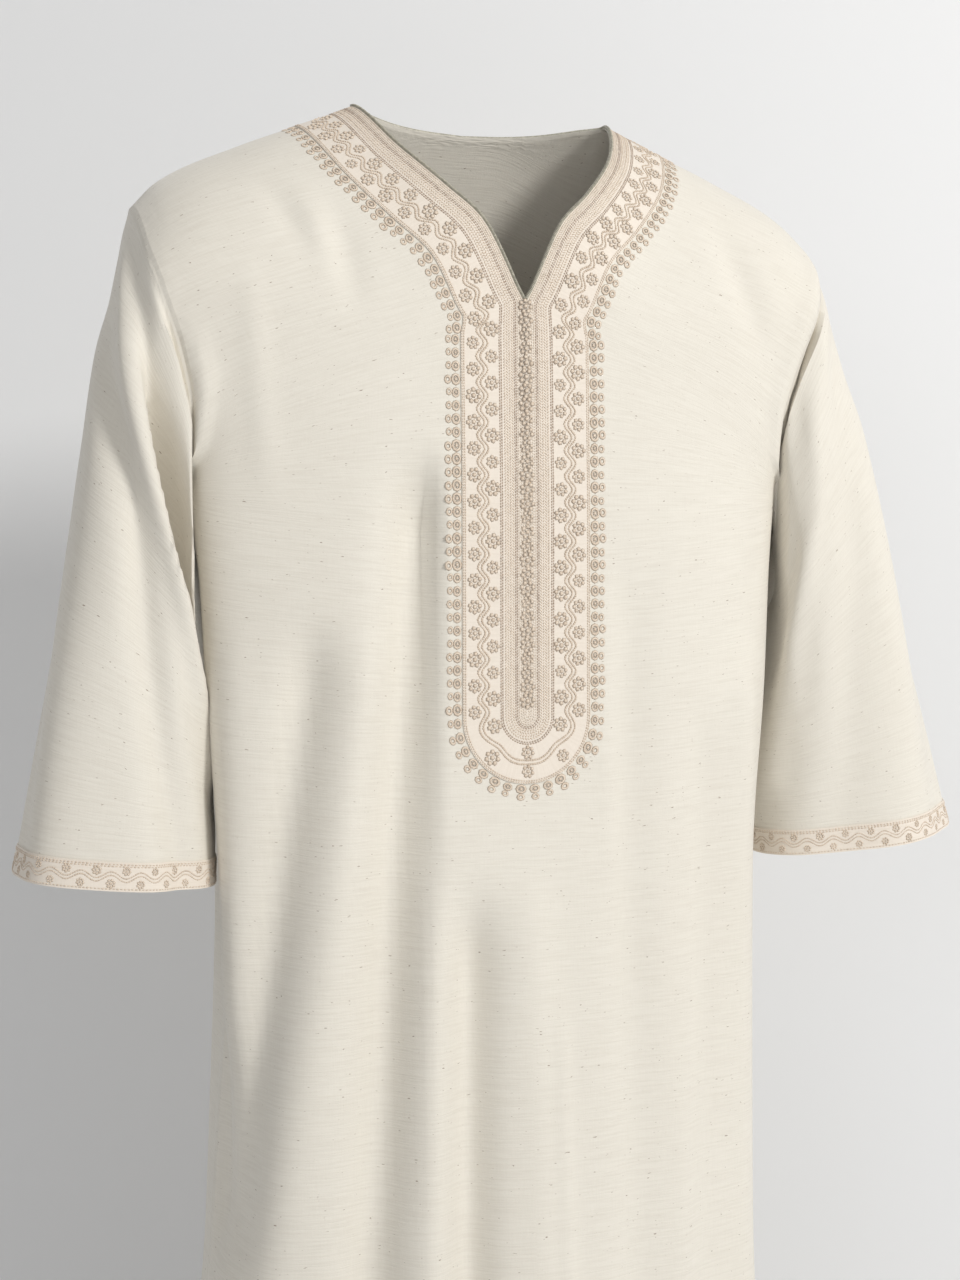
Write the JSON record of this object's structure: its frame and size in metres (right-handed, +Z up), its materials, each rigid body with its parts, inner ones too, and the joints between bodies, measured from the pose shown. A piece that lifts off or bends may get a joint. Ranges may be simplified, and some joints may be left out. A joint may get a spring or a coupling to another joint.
{
  "type": "thobe robe",
  "caption": "Long cream slub-cloth robe, worn shape, with an embroidered V neck and placket, flared three-quarter sleeves and worked cuff bands.",
  "frame": {"origin": "on the shoulders in the middle of the neck opening, level with the ends of the neck edge", "axes": "+Z up along the robe's length, -Y towards the wearer's front, +X towards the wearer's left"},
  "size_m": [0.7771, 0.3585, 1.4019],
  "materials": {
    "cream_slub_cloth": "matte slub weave with a low soft sheen",
    "embroidery_thread": "dense raised thread work",
    "neck_edging": "narrow rope-stitched edge"
  },
  "bodies": {
    "root": {"front_panel": "cream_slub_cloth", "back_panel": "cream_slub_cloth", "sleeve_left": "cream_slub_cloth", "sleeve_right": "cream_slub_cloth", "cuff_band_left": "embroidery_thread", "cuff_band_right": "embroidery_thread", "neck_embroidery": "embroidery_thread", "back_neck_edging": "neck_edging"}
  },
  "joints": []
}
